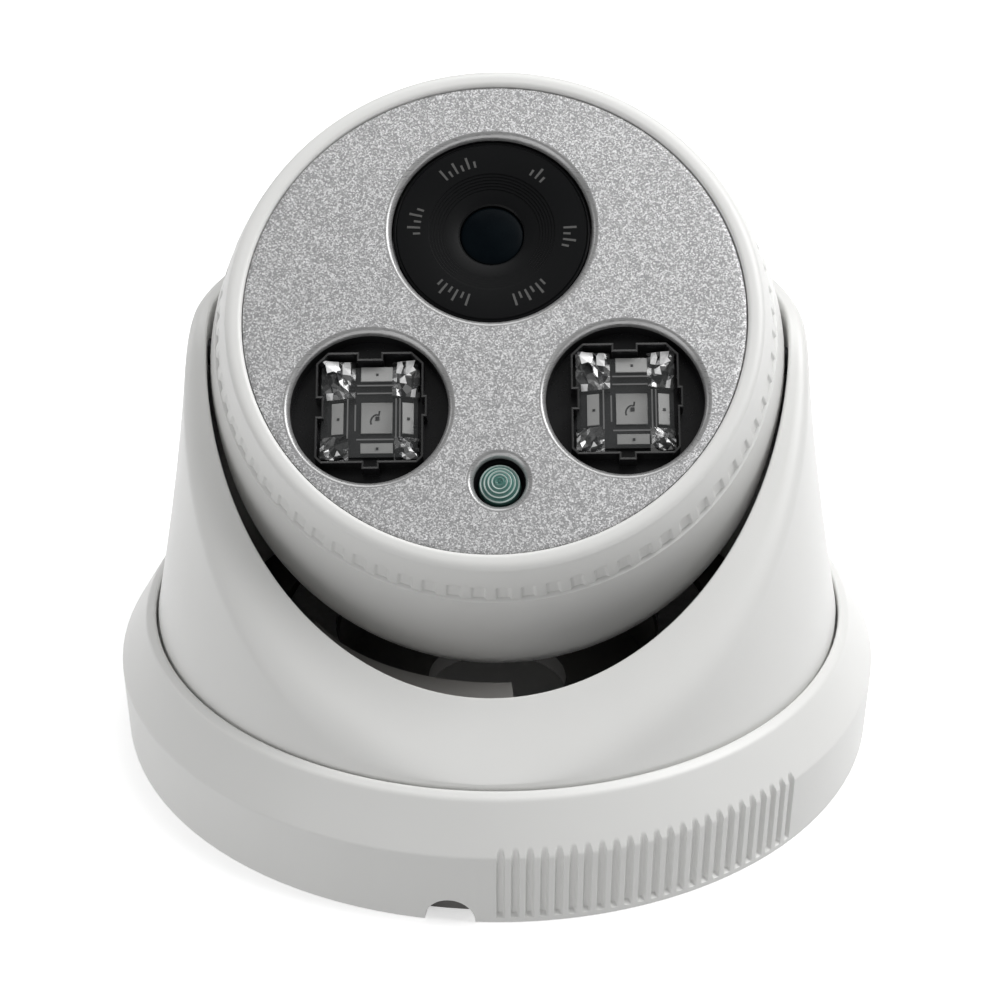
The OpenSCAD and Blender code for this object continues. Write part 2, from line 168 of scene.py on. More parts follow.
GRIP_DEPTH = 0.36

# ---- sizes of the face; the scales' angles are in degrees ----

LENS_UP = 13.5
LENS_HOLE = 15.3
IR_SIDE = 18.2
IR_DOWN = 13.6
IR_HOLE = 12.0
SENSOR_DOWN = 25.4
SENSOR_HOLE = 4.4
HOLE_BEVEL = 0.7
HOLE_WALL = 0.4
PAINTED_DEPTH = 1.2
BOARD_W = 12.6
TRIM_R = 14.4
TRIM_W = FACE_W - 1.1
TRIM_STEPS = 6
TRIM_STEP = 0.43
TRIM_DROP = 0.15
TUBE_R = 8.6
TUBE_DEPTH = 1.6
SCALE_RING_IN = 9.3
SCALE_R = 10.4
SCALES = ((-24, 6), (39, 3), (97, 4), (152, 6), (212, 6), (280, 5))
TICK_PITCH = 5.0
TICK_HALF = 0.9
TICK_LONG = 2.0
TICK_SHORT = 1.1
GLASS_R = 4.6
GLASS_DROP = 0.45
GLASS_GAP = 0.12
GLASS_DOME = 0.6
SENSOR_R = 2.85
SENSOR_TOP_W = 16.0
SENSOR_CURVE = 0.16
RIDGE_PITCH = 0.56
RIDGE_H = 0.13

# ---- sizes of the infrared arrays ----

ARRAY_TURN = math.radians(-1.5)
SQUARE = ((-1, -1), (1, -1), (1, 1), (-1, 1))
TRAY_WALL = 0.3
TRAY_W = 15.4
TRAY_BEVEL_DOWN = 0.08
TRAY_BEVEL = 0.06
TRAY_FLOOR = (6.2, 6.4)
TRAY_FLOOR_T = 0.25
# The first chip is the light source; the other four are painted images of it as seen through the optic's
# leaning facets
# Middle x and y, width, height, middle w and the slopes along x and y of each chip face
CHIPS = (
    (0.95, -0.60, 4.5, 4.7, 13.1, 0.0, 0.0), (0.95, 5.65, 4.5, 2.4, 14.2, 0.0, -0.25),
    (1.05, -5.60, 4.6, 1.4, 14.3, 0.0, 0.25), (-4.55, -1.10, 1.7, 4.7, 14.2, 0.25, 0.0),
    (5.45, -1.10, 1.6, 4.7, 14.2, -0.25, 0.0))
CHIP_T = 0.12
DIE_SHARE = 0.13
DIE_LEAST = 0.36
WIRE_HALF = 0.13
WIRE_POINTS = 9
# Outer corner x and y, then inner corner x and y, of each cut corner
CORNER_ZONES = (
    (-7.0, 7.75, -2.1, 1.95), (7.1, 7.75, 3.2, 2.3),
    (-7.0, -7.3, -3.0, -3.7), (7.1, -7.3, 3.5, -3.9))
# Column and row of each cell painted white as a highlight
PAINTED_HIGHLIGHT_TOP = {(1, 0), (2, 0), (1, 1), (2, 1), (4, 0), (4, 1), (3, 3), (1, 5)}
PAINTED_HIGHLIGHT_BOTTOM = {(1, 2), (3, 1)}
CRYSTAL_SEED = 7
CRYSTAL_CELLS = 6
CRYSTAL_W = 13.6
CRYSTAL_RISE = 1.1
CRYSTAL_SHIFT = 0.4
CRYSTAL_LIFT = 0.25
OPTIC_EDGE = ((-6.9, -7.0), (6.9, -7.0), (6.9, 6.6), (-6.9, 6.6))
OPTIC_EDGE_W = 14.4
PLATEAU = ((-3.1, -4.45), (3.8, -4.45), (3.8, 3.75), (-3.1, 3.75))
PLATEAU_W = 14.8
OPTIC_T = 0.15
EDGE_LINE_W = 14.88
EDGE_LINE_HALF = 0.11

# ---- light and camera; in metres and degrees, with the focal length in millimetres ----

# Name, azimuth, elevation, distance, side and power of each soft light
LIGHTS = (
    ("key", 90, 52, 1.0, 0.6, 7.0), ("fill", -110, 20, 1.0, 0.5, 1.2),
    ("front", -36, -2, 1.2, 1.0, 4.4), ("top", 165, 72, 1.2, 0.8, 5.0))
LIGHT_AIM = Vector((0, 0, 0.05))
WORLD_BELOW = 0.5
WORLD_ABOVE = 0.26
WORLD_LOW = -0.35
WORLD_HIGH = 0.5
FLOOR_GLOW = 0.5
# Radius of the grey disc of painted shade under the object
FLOOR_SHADE_R = 0.05
FLOOR_R = 4.0
CAMERA_AZIMUTH = 2.0
CAMERA_ELEVATION = 29.38
CAMERA_DISTANCE = 0.3924
CAMERA_LENS = 91.65
CAMERA_AIM = Vector((0.00045, 0, 0.03545))

# ---- mesh helpers ----


def arc_between(start, corner, end, steps):
    """Points of a round blend that leaves towards the corner and arrives from it."""
    half = (start - corner).angle(end - corner) / 2
    points = []
    for k in range(steps + 1):
        t = k / steps
        weights = ((1 - t) ** 2, 2 * t * (1 - t) * math.sin(half), t * t)
        points.append((start * weights[0] + corner * weights[1] + end * weights[2]) / sum(weights))
    return points


def rounded(corners, steps=5):
    """Closed outline from (x, y, radius) corners, each rounded with a circular arc."""
    outline = []
    for i, (x, y, radius) in enumerate(corners):
        here = Vector((x, y))
        before = Vector(corners[i - 1][:2]) - here
        after = Vector(corners[(i + 1) % len(corners)][:2]) - here
        cut = min(radius / math.tan(before.angle(after) / 2), 0.48 * before.length, 0.48 * after.length)
        start, end = here + before.normalized() * cut, here + after.normalized() * cut
        outline += arc_between(start, here, end, steps)
    return outline


def even_turn(count):
    """Angles that share a full turn evenly."""
    return [TAU * i / count for i in range(count)]


def finish_mesh(name, mesh, place, material, sharp=SHARP):
    """Object of a mesh made in millimetres, smooth but for its sharp edges."""
    mesh.transform(Matrix.Scale(MM, 4))
    mesh.transform(place)
    mesh.validate()
    mesh.shade_smooth()
    mesh.set_sharp_from_angle(angle=sharp)
    piece = bpy.data.objects.new(name, mesh)
    bpy.context.scene.collection.objects.link(piece)
    mesh.materials.append(material)
    return piece


def grid_mesh(name, rows):
    """Mesh of rows of points, closed both ways; points that meet on the axis are welded."""
    count = len(rows[0])
    points = [point for row in rows for point in row]
    faces = []
    for i in range(len(rows)):
        after = (i + 1) % len(rows)
        for k in range(count):
            nxt = (k + 1) % count
            faces.append((i * count + k, i * count + nxt, after * count + nxt, after * count + k))
    mesh = bpy.data.meshes.new(name)
    mesh.from_pydata(points, [], faces)
    bm = bmesh.new()
    bm.from_mesh(mesh)
    bmesh.ops.remove_doubles(bm, verts=bm.verts, dist=1e-4)
    bmesh.ops.dissolve_degenerate(bm, edges=bm.edges, dist=1e-5)
    bmesh.ops.recalc_face_normals(bm, faces=bm.faces)
    bm.to_mesh(mesh)
    bm.free()
    return mesh


def turned(name, outline, material, place=STAND, azimuths=None, warp=None, sharp=SHARP):
    """Solid of revolution of a closed (r, z) outline; warp(r, z, azimuth) may reshape it."""
    rows = []
    for azimuth in azimuths or even_turn(144):
        row = []
        for r, z in outline:
            if warp:
                r, z = warp(r, z, azimuth)
            row.append((r * math.sin(azimuth), -r * math.cos(azimuth), z))
        rows.append(row)
    return finish_mesh(name, grid_mesh(name, rows), place, material, sharp)


def soft_min(a, b, blend):
    """Smaller of a and b, rounded where they are closer than blend."""
    gap = max(blend - abs(a - b), 0) / blend
    return min(a, b) - gap * gap * blend / 4


def smooth_step(share):
    """Share from 0 to 1 with a level start and end; shares outside that range are cut off."""
    share = min(max(share, 0), 1)
    return share * share * (3 - 2 * share)


def split_long(outline, longest):
    """Outline with its long edges cut into pieces no longer than the given length."""
    result = []
    for i, point in enumerate(outline):
        after = outline[(i + 1) % len(outline)]
        pieces = max(1, math.ceil((after - point).length / longest))
        result += [point.lerp(after, k / pieces) for k in range(pieces)]
    return result


def add_ring(bm, x, y, radius, w, count):
    """Ring of vertices round (x, y)."""
    return [bm.verts.new((x + radius * math.sin(a), y - radius * math.cos(a), w))
            for a in even_turn(count)]


def bridge_rings(bm, rings, material_index=0):
    """Strips of quads between rings that follow each other."""
    for lower, upper in zip(rings, rings[1:]):
        for k in range(len(lower)):
            nxt = (k + 1) % len(lower)
            face = bm.faces.new((lower[k], lower[nxt], upper[nxt], upper[k]))
            face.material_index = material_index


def fill_between(bm, loops):
    """Flat face, in triangles, between an outer loop and the loops of its holes."""
    edges = []
    for loop in loops:
        edges += [bm.edges.get((loop[k - 1], loop[k])) for k in range(len(loop))]
    bmesh.ops.triangle_fill(bm, use_beauty=True, use_dissolve=False, edges=edges)


def mesh_of(bm, name):
    """Mesh of a finished bmesh with its faces turned outwards."""
    bmesh.ops.recalc_face_normals(bm, faces=bm.faces)
    mesh = bpy.data.meshes.new(name)
    bm.to_mesh(mesh)
    bm.free()
    return mesh


# ---- material helpers ----


def new_material(name, colour, roughness, metallic=0.0, specular=0.5):
    """Principled material with its even values set on the shader's own sockets."""
    material = bpy.data.materials.new(name)
    material.use_nodes = True
    shader = material.node_tree.nodes["Principled BSDF"]
    shader.inputs["Base Color"].default_value = (*colour, 1)
    shader.inputs["Roughness"].default_value = roughness
    shader.inputs["Metallic"].default_value = metallic
    shader.inputs["Specular IOR Level"].default_value = specular
    return material, shader


def add_node(material, kind, **settings):
    """New node with the named inputs set."""
    node = material.node_tree.nodes.new(kind)
    for key, value in settings.items():
        node.inputs[key].default_value = value
    return node


def join(material, source, target):
    """Link from an output to an input."""
    material.node_tree.links.new(source, target)


def object_noise(material, scale, detail=2.0, roughness=0.5):
    """Noise fixed to the object's own metres."""
    coords = add_node(material, "ShaderNodeTexCoord")
    noise = add_node(material, "ShaderNodeTexNoise", Scale=scale, Detail=detail, Roughness=roughness)
    join(material, coords.outputs["Object"], noise.inputs["Vector"])
    return noise


def object_cells(material, scale):
    """Random red, green and blue values for the cells of a pattern fixed to the object's metres."""
    coords = add_node(material, "ShaderNodeTexCoord")
    cells = add_node(material, "ShaderNodeTexVoronoi", Scale=scale)
    join(material, coords.outputs["Object"], cells.inputs["Vector"])
    split = add_node(material, "ShaderNodeSeparateColor")
    join(material, cells.outputs["Color"], split.inputs["Color"])
    return split


def vary_colour(material, shader, source, low, high, start=0.3, end=0.7):
    """Base colour from low to high, driven by a texture's value between start and end."""
    ramp = add_node(material, "ShaderNodeValToRGB")
    ramp.color_ramp.elements[0].position = start
    ramp.color_ramp.elements[0].color = (*low, 1)
    ramp.color_ramp.elements[1].position = end
    ramp.color_ramp.elements[1].color = (*high, 1)
    join(material, source, ramp.inputs["Fac"])
    join(material, ramp.outputs["Color"], shader.inputs["Base Color"])


def vary_gloss(material, shader, source, low, high):
    """Roughness from low to high, driven by a texture's value from 0 to 1."""
    node = add_node(material, "ShaderNodeMapRange")
    node.inputs["To Min"].default_value = low
    node.inputs["To Max"].default_value = high
    join(material, source, node.inputs["Value"])
    join(material, node.outputs["Result"], shader.inputs["Roughness"])


def add_bump(material, shader, source, strength, distance):
    """Fine relief of the surface, driven by a texture's value."""
    bump = add_node(material, "ShaderNodeBump", Strength=strength, Distance=distance)
    join(material, source, bump.inputs["Height"])
    join(material, bump.outputs["Normal"], shader.inputs["Normal"])


def moulded(name, colour, roughness, grain=2600.0, strength=0.12, shade=0.02, specular=0.4):
    """Moulded plastic: a fine texture, with slight changes of shade and of gloss."""
    material, shader = new_material(name, colour, roughness, specular=specular)
    cloudy = object_noise(material, 45.0, 3.0)
    darker = tuple(max(c - shade, 0) for c in colour)
    vary_colour(material, shader, cloudy.outputs["Fac"], darker, colour)
    fine = object_noise(material, grain, 2.0)
    vary_gloss(material, shader, fine.outputs["Fac"], roughness - 0.05, roughness + 0.06)
    add_bump(material, shader, fine.outputs["Fac"], strength, 0.00004)
    return material


def metal(name, colour, roughness, grain=700.0, metallic=1.0):
    """Metal with fine machining marks."""
    material, shader = new_material(name, colour, roughness, metallic=metallic)
    coords = add_node(material, "ShaderNodeTexCoord")
    mapping = add_node(material, "ShaderNodeMapping")
    mapping.inputs["Scale"].default_value = (1, 1, 12)
    noise = add_node(material, "ShaderNodeTexNoise", Scale=grain, Detail=3.0)
    join(material, coords.outputs["Object"], mapping.inputs["Vector"])
    join(material, mapping.outputs["Vector"], noise.inputs["Vector"])
    vary_gloss(material, shader, noise.outputs["Fac"], roughness - 0.1, roughness + 0.14)
    vary_colour(material, shader, noise.outputs["Fac"], tuple(c * 0.82 for c in colour), colour)
    add_bump(material, shader, noise.outputs["Fac"], 0.1, 0.00003)
    return material


def sparkle_paint():
    """Silver sparkle paint: small flakes, each with its own shade and gloss, over a fine grain."""
    material, shader = new_material("silver_sparkle", (0.45, 0.45, 0.46), 0.45, metallic=0.55)
    flakes = object_cells(material, 5200.0)
    vary_colour(material, shader, flakes.outputs["Red"], (0.35, 0.35, 0.355), (0.86, 0.86, 0.865),
                0.35, 1.0)
    vary_gloss(material, shader, flakes.outputs["Green"], 0.38, 0.6)
    grain = object_noise(material, 3600.0, 2.0, 0.6)
    add_bump(material, shader, grain.outputs["Fac"], 0.32, 0.00008)
    return material


def clear_skin():
    """Clear cover that hides little of what is under it but still shines."""
    material, shader = new_material("clear_skin", (0.3, 0.31, 0.31), 0.06, specular=0.5)
    shader.inputs["Alpha"].default_value = 0.05
    cloudy = object_noise(material, 700.0, 2.0)
    vary_gloss(material, shader, cloudy.outputs["Fac"], 0.03, 0.12)
    return material


def crystal():
    """Cut clear plastic: its facets shine by what they reflect, and painted glints make some cells lighter
    and others darker.
    """
    material, shader = new_material("cut_crystal_painted_glints", (0.3, 0.3, 0.3), 0.15, metallic=0.85)
    cells = object_cells(material, 900.0)
    # Painted glints: each cell of the pattern is painted darker or lighter, standing for what the facets
    # reflect
    vary_colour(material, shader, cells.outputs["Red"], (0.015, 0.015, 0.016), (0.34, 0.34, 0.34),
                0.25, 0.95)
    vary_gloss(material, shader, cells.outputs["Green"], 0.06, 0.3)
    return material


def lens_glass():
    """Coated front glass: nearly black, with a cold tint and hardly any shine."""
    material, shader = new_material("coated_glass", (0.0015, 0.003, 0.0045), 0.4, specular=0.03)
    haze = object_noise(material, 260.0, 2.0)
    vary_colour(material, shader, haze.outputs["Fac"], (0.001, 0.0024, 0.0038), (0.0022, 0.0042, 0.0058))
    return material


def clear_plastic(name, tint, roughness, ior=1.49):
    """Clear plastic or glass with a slightly uneven gloss."""
    material, shader = new_material(name, tint, roughness)
    shader.inputs["Transmission Weight"].default_value = 1.0
    shader.inputs["IOR"].default_value = ior
    cloudy = object_noise(material, 900.0, 2.0)
    vary_gloss(material, shader, cloudy.outputs["Fac"], roughness, roughness + 0.05)
    return material


WHITE = moulded("white_plastic", (0.80, 0.80, 0.785), 0.36, specular=0.5)
GREY = moulded("inner_plastic", (0.62, 0.62, 0.61), 0.5)
# Painted shade: the base plate, turret floor and cable guard are darkened for the shade inside the housing
INNER_PAINTED_SHADE = moulded("interior_painted_shade", (0.115, 0.112, 0.108), 0.5)
GUARD_PAINTED_SHADE = moulded("guard_plastic_painted_shade", (0.33, 0.32, 0.31), 0.5)
NATURAL = moulded("washer_plastic", (0.74, 0.71, 0.62), 0.4)
RUBBER = moulded("rubber", (0.022, 0.022, 0.023), 0.7, grain=1500.0, strength=0.3, shade=0.008)
BLACK = moulded("black_plastic", (0.012, 0.012, 0.013), 0.34, grain=3000.0, strength=0.06, shade=0.004)
EPOXY = moulded("chip_epoxy", (0.02, 0.02, 0.021), 0.55, shade=0.006)
BOARD_BLACK = moulded("board_black", (0.010, 0.010, 0.011), 0.28, grain=900.0, strength=0.1,
                      shade=0.004)
BOARD_GREEN = moulded("board_green", (0.012, 0.10, 0.042), 0.3, grain=900.0, strength=0.1, shade=0.01)
STEEL = metal("zinc_steel", (0.62, 0.62, 0.63), 0.32)
ALUMINIUM = metal("milled_aluminium", (0.78, 0.78, 0.79), 0.3)
BRASS = metal("turned_brass", (0.72, 0.52, 0.24), 0.28)
ANODISED = metal("black_anodised", (0.03, 0.03, 0.032), 0.4)
SILVER = sparkle_paint()
BEVEL_SILVER = metal("bevel_silver", (0.42, 0.42, 0.42), 0.28, grain=900.0, metallic=0.5)
ACRYLIC = clear_plastic("clear_acrylic", (0.97, 0.98, 0.98), 0.02)
TRIM_BLACK = moulded("trim_black", (0.0055, 0.0058, 0.0062), 0.38, grain=3000.0, strength=0.03,
                     shade=0.002, specular=0.1)
TRAY_BLACK = moulded("tray_black", (0.016, 0.016, 0.017), 0.3, grain=3000.0, strength=0.04, shade=0.006)
# Painted highlights for the tray frame's top bevel: brighter where it runs across, dimmer where it runs up
# and down
TRAY_EDGE_HIGHLIGHT = moulded("tray_edge_painted_highlight", (0.10, 0.10, 0.10), 0.25, grain=1800.0, strength=0.1, shade=0.05)
TRAY_SIDE_DIM_HIGHLIGHT = moulded("tray_side_painted_highlight", (0.045, 0.045, 0.045), 0.3, grain=1800.0, strength=0.1, shade=0.02)
# Painted highlight: pure white for the crystal cells listed to shine
FACET_PAINTED_HIGHLIGHT = moulded("facet_painted_highlight", (1.0, 1.0, 1.0), 0.1, grain=900.0, strength=0.05, shade=0.1,
                      specular=1.0)
MARK_GREY = moulded("mark_grey", (0.085, 0.085, 0.083), 0.5, shade=0.015)
CHIP_GREY = moulded("chip_grey", (0.34, 0.34, 0.335), 0.35, grain=1800.0, strength=0.1, shade=0.04)
# Painted highlight for the thin strips along the optic's raised middle
RIDGE_PAINTED_HIGHLIGHT = moulded("ridge_painted_highlight", (0.19, 0.19, 0.19), 0.15, grain=1500.0, strength=0.2, shade=0.09)
TEAL = moulded("teal_dome", (0.095, 0.21, 0.185), 0.1, grain=900.0, strength=0.05, shade=0.05,
               specular=0.8)
# Painted highlight for the crests of the sensor dome's ridges
TEAL_PAINTED_HIGHLIGHT = moulded("teal_ridge_painted_highlight", (0.72, 0.82, 0.79), 0.1, grain=700.0, strength=0.1, shade=0.4,
                     specular=0.9)
FILTER = clear_plastic("filter_glass", (0.35, 0.75, 0.8), 0.02, 1.52)
CLEAR_SKIN = clear_skin()
CRYSTAL = crystal()
LENS_GLASS = lens_glass()


# ---- base ring ----


def ring_azimuths():
    """Turns for the base ring: fine over the grooves and the notch, coarse elsewhere."""
    fine = {round(a, 2) for a in range(0, 360, 3)}
    for side in (0, 180):
        for i in range(GROOVES):
            middle = side + GROOVE_START + i * GROOVE_PITCH
            fine |= {round((middle + k * GROOVE_COLUMN) % 360, 2) for k in range(-8, 9)}
    reach = math.degrees(NOTCH_R / FOOT_R)
    fine |= {round((NOTCH_AT + reach * math.sin(math.pi / 2 * k / NOTCH_COLUMNS)) % 360, 2)
             for k in range(-NOTCH_COLUMNS, NOTCH_COLUMNS + 1)}
    fine |= {round((NOTCH_AT + side * (reach + 0.05)) % 360, 2) for side in (-1, 1)}
    return [math.radians(a) for a in sorted(fine)]


def ring_warp(r, z, azimuth):
    """Cuts the grip grooves and lifts the bottom edge over the cable notch."""
    degrees = math.degrees(azimuth) % 180
    nearest = round((degrees - GROOVE_START) / GROOVE_PITCH)
    if 0 <= nearest < GROOVES and r > LIP_R:
        across = math.radians(degrees - GROOVE_START - nearest * GROOVE_PITCH) * BASE_R
        if abs(across) < GROOVE_HALF:
            wall_r = FOOT_R + (BASE_R - FOOT_R) * min(z / BAND_H, 1)
            floor_r = wall_r - GROOVE_DEPTH * (1 - (across / GROOVE_HALF) ** 4)
            start = min(max((z - GROOVE_LOW) / GROOVE_END + 0.5, 0), 1)
            r += (soft_min(r, floor_r, GROOVE_EDGE) - r) * start
    across = (math.degrees(azimuth) - NOTCH_AT + 180) % 360 - 180
    across = math.radians(across) * FOOT_R
    if abs(across) < NOTCH_R and z < BAND_H:
        z += math.sqrt(NOTCH_R ** 2 - across ** 2) * (1 - z / BAND_H)
    return r, z


def make_base_ring():
    """Outer ring: a band with grip grooves, a slope up to a thin lip, and the cable notch."""
    outline = rounded([
        (FOOT_R - RING_WALL, 0, 0.2), (FOOT_R, 0, 0.35), (BASE_R, BAND_H, 1.0),
        (LIP_R + 0.25, LIP_Z - 0.15, 1.3), (LIP_R - LIP_W, LIP_Z + 0.65, 0.35),
        (LIP_R - LIP_W, LIP_Z - 1.9, 0.3), (BASE_R - RING_WALL - 0.3, BAND_H - 0.4, 0.5),
    ])
    ring = turned("base_ring_shell", split_long(outline, RING_MESH), WHITE,
                  azimuths=ring_azimuths(), warp=ring_warp)
    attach(ring, "ring")
    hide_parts("base_ring")


# ---- turret housing ----


def bell_radius(z):
    """Radius of the housing's outer wall at a height."""
    share = max(BELL_TOP_Z - z, 0) / (BELL_TOP_Z - BELL_Z)
    return BELL_TOP_R + (BELL_LOW_R - BELL_TOP_R) * share ** BELL_CURVE


def opening_height(r, azimuth):
    """Height of the housing's upper surface: the slanted opening, or the level top behind it."""
    slanted = BALL_Z + (CUT_AHEAD - r * math.cos(azimuth) * math.cos(CUT_TILT)) / math.sin(CUT_TILT)
    return soft_min(slanted, BELL_TOP_Z, CUT_BLEND)


def edge_radius(azimuth):
    """Radius at which the opening's surface meets the housing's outer wall."""
    low, high = BELL_BORE, BELL_LOW_R + 3
    for _ in range(40):
        edge = (low + high) / 2
        if bell_radius(opening_height(edge, azimuth)) > edge:
            low = edge
        else:
            high = edge
    return edge


def housing_section(azimuth):
    """Closed outline of the housing's wall in the half-plane at an azimuth."""
    def on_opening(r):
        return Vector((r, opening_height(r, azimuth)))

    edge = edge_radius(azimuth)
    edge_z = opening_height(edge, azimuth)
    frontness = max(math.cos(azimuth), 0)
    reach = min(EDGE_REACH + EDGE_REACH_FRONT * frontness, (edge - BELL_BORE) * 0.8)
    drop = min(EDGE_DROP + EDGE_DROP_FRONT * frontness, max(edge_z - BELL_Z, 0.2) * 0.8)
    inner_edge = BELL_BORE + BORE_ROUND
    rim = on_opening(BELL_BORE)
    bore_h = rim.y - 2 * BORE_ROUND_DOWN - HOUSING_FOOT
    outline = [Vector((BELL_BORE, HOUSING_FOOT + bore_h * k / 6)) for k in range(6)]
    outline += arc_between(Vector((BELL_BORE, rim.y - BORE_ROUND_DOWN)), rim, on_opening(inner_edge), 4)
    last = edge - reach
    outline += [on_opening(inner_edge + (last - inner_edge) * k / 12) for k in range(1, 12)]
    top = edge_z - drop
    outline += arc_between(on_opening(last), Vector((edge, edge_z)), Vector((bell_radius(top), top)), 10)
    for k in range(1, 15):
        z = top + (BELL_Z - 0.4 - top) * k / 14
        outline.append(Vector((bell_radius(z), z)))
    outline += [Vector(p) for p in (
        (BELL_LOW_R, FLANGE_TOP), (FLANGE_R, FLANGE_TOP), (FLANGE_R, HOUSING_FOOT),
        (CHANNEL_OUT, HOUSING_FOOT), (CHANNEL_OUT, CHANNEL_TOP), (CHANNEL_IN, CHANNEL_TOP),
        (CHANNEL_IN, HOUSING_FOOT))]
    return outline


def make_housing():
    """Bell-shaped housing with its slanted opening."""
    rows = []
    for azimuth in even_turn(240):
        rows.append([(p.x * math.sin(azimuth), -p.x * math.cos(azimuth), p.y)
                     for p in housing_section(azimuth)])
    housing = finish_mesh("turret_shell", grid_mesh("turret_shell", rows), STAND, WHITE)
    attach(housing, "turret")
    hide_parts("turret_housing")


# ---- head shell and front ring ----


def sphere_w(radius, r):
    """Height on a sphere above its middle plane, r away from the axis."""
    return math.sqrt(max(radius * radius - r * r, 0))


def shell_reach(turn, azimuth):
    """Distance from the head's centre to its rear shell, at an angle from the lens axis."""
    side, along = math.sin(turn), math.cos(turn)
    towards = CHIN_DOWN * side * math.cos(azimuth) - CHIN_BACK * along
    chin = towards + math.sqrt(towards ** 2 - CHIN_DOWN ** 2 - CHIN_BACK ** 2 + CHIN_R ** 2)
    reach = -soft_min(-SHELL_R, -chin, SHELL_BLEND)
    lean = side + CONE_SLOPE * along
    if lean < CONE_FACING:
        return reach
    return soft_min(reach, (CONE_R + CONE_SLOPE * SEAM_W) / lean, CONE_BLEND)


def shell_point(turn, inset, azimuth):
    """Radius and height of a point that lies under the shell's skin by an inset."""
    reach = shell_reach(turn, azimuth) - inset
    return reach * math.sin(turn), reach * math.cos(turn)


def make_head_shell():
    """Rear shell; its outline is given as angles from the lens axis and depths under the skin."""
    front = math.atan2(CONE_R, SEAM_W)
    front_in = math.atan2(CONE_R - SHELL_T, SEAM_W)
    back = math.pi - math.asin(CABLE_EXIT_R / SHELL_R)
    start = front + 2 * SEAM_TURN
    outline = [(front + SEAM_TURN, SEAM_BEVEL)]
    outline += [(start + (back - start) * k / 72, 0) for k in range(73)]
    outline += [(back + (front_in - back) * k / 36, SHELL_T) for k in range(37)]
    shell = turned("head_rear_shell", outline, WHITE, place=HEAD, azimuths=even_turn(160),
                   warp=shell_point)
    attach(shell, "head")
    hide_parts("head_shell")


def grip_warp(r, w, azimuth):
    """Presses the grip recesses into the front ring's rear edge."""
    pitch = TAU / GRIPS
    across = abs((azimuth + pitch / 2) % pitch - pitch / 2) * FRONT_R
    if r > FRONT_R * 0.9:
        side = smooth_step((GRIP_HALF - across) / GRIP_SIDE)
        top = smooth_step((SEAM_W + GRIP_H - w) / GRIP_TOP)
        r -= GRIP_DEPTH * side * top
    return r, w


def front_ring_azimuths():
    """Turns for the front ring: several over each wall of the grip recesses."""
    pitch = TAU / GRIPS
    shares = (-0.5, -0.36, -0.32, -0.28, -0.24, -0.2, -0.1, 0, 0.1, 0.2, 0.24, 0.28, 0.32, 0.36)
    return [pitch * (i + share) for i in range(GRIPS) for share in shares]


def make_front_ring():
    """White ring round the face, with grip recesses, the plate's ledge and a web inside."""
    rear = SEAM_W + SEAM_GAP
    side_w = [rear + (FACE_W - 0.3 - rear) * k / 24 for k in range(25)]
    front = FACE_W + FRONT_PROUD
    seat_r = PLATE_R + PLATE_GAP
    corner = Vector((sphere_w(FRONT_R, FACE_W) + 0.05, front))
    side = [Vector((sphere_w(FRONT_R, w), w)) for w in side_w]
    outline = side[:-1] + arc_between(side[-1], corner, Vector((corner.x - FRONT_ROUND, front)), 8)
    outline += arc_between(Vector((PLATE_R + 0.75, front)), Vector((seat_r, front)),
                           Vector((seat_r, front - 0.5)), 4)
    outline += [Vector(p) for p in (
        (seat_r, FACE_W - PLATE_T), (LEDGE_R, FACE_W - PLATE_T), (LEDGE_R, WEB_W + WEB_T),
        (HUB_IN, WEB_W + WEB_T), (HUB_IN, HUB_W), (HUB_OUT, HUB_W), (HUB_OUT, WEB_W),
        (sphere_w(FRONT_R, WEB_W) - FRONT_WALL, WEB_W), (sphere_w(FRONT_R, rear) - FRONT_WALL, rear),
        (sphere_w(FRONT_R, rear) - 0.25, rear))]
    ring = turned("front_ring_shell", outline, WHITE, place=FACE,
                  azimuths=front_ring_azimuths(), warp=grip_warp)
    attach(ring, "front")
    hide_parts("front_ring")


# ---- face plate ----

FACE_HOLES = (
    (0, LENS_UP, LENS_HOLE), (-IR_SIDE, -IR_DOWN, IR_HOLE), (IR_SIDE, -IR_DOWN, IR_HOLE),
    (0, -SENSOR_DOWN, SENSOR_HOLE))


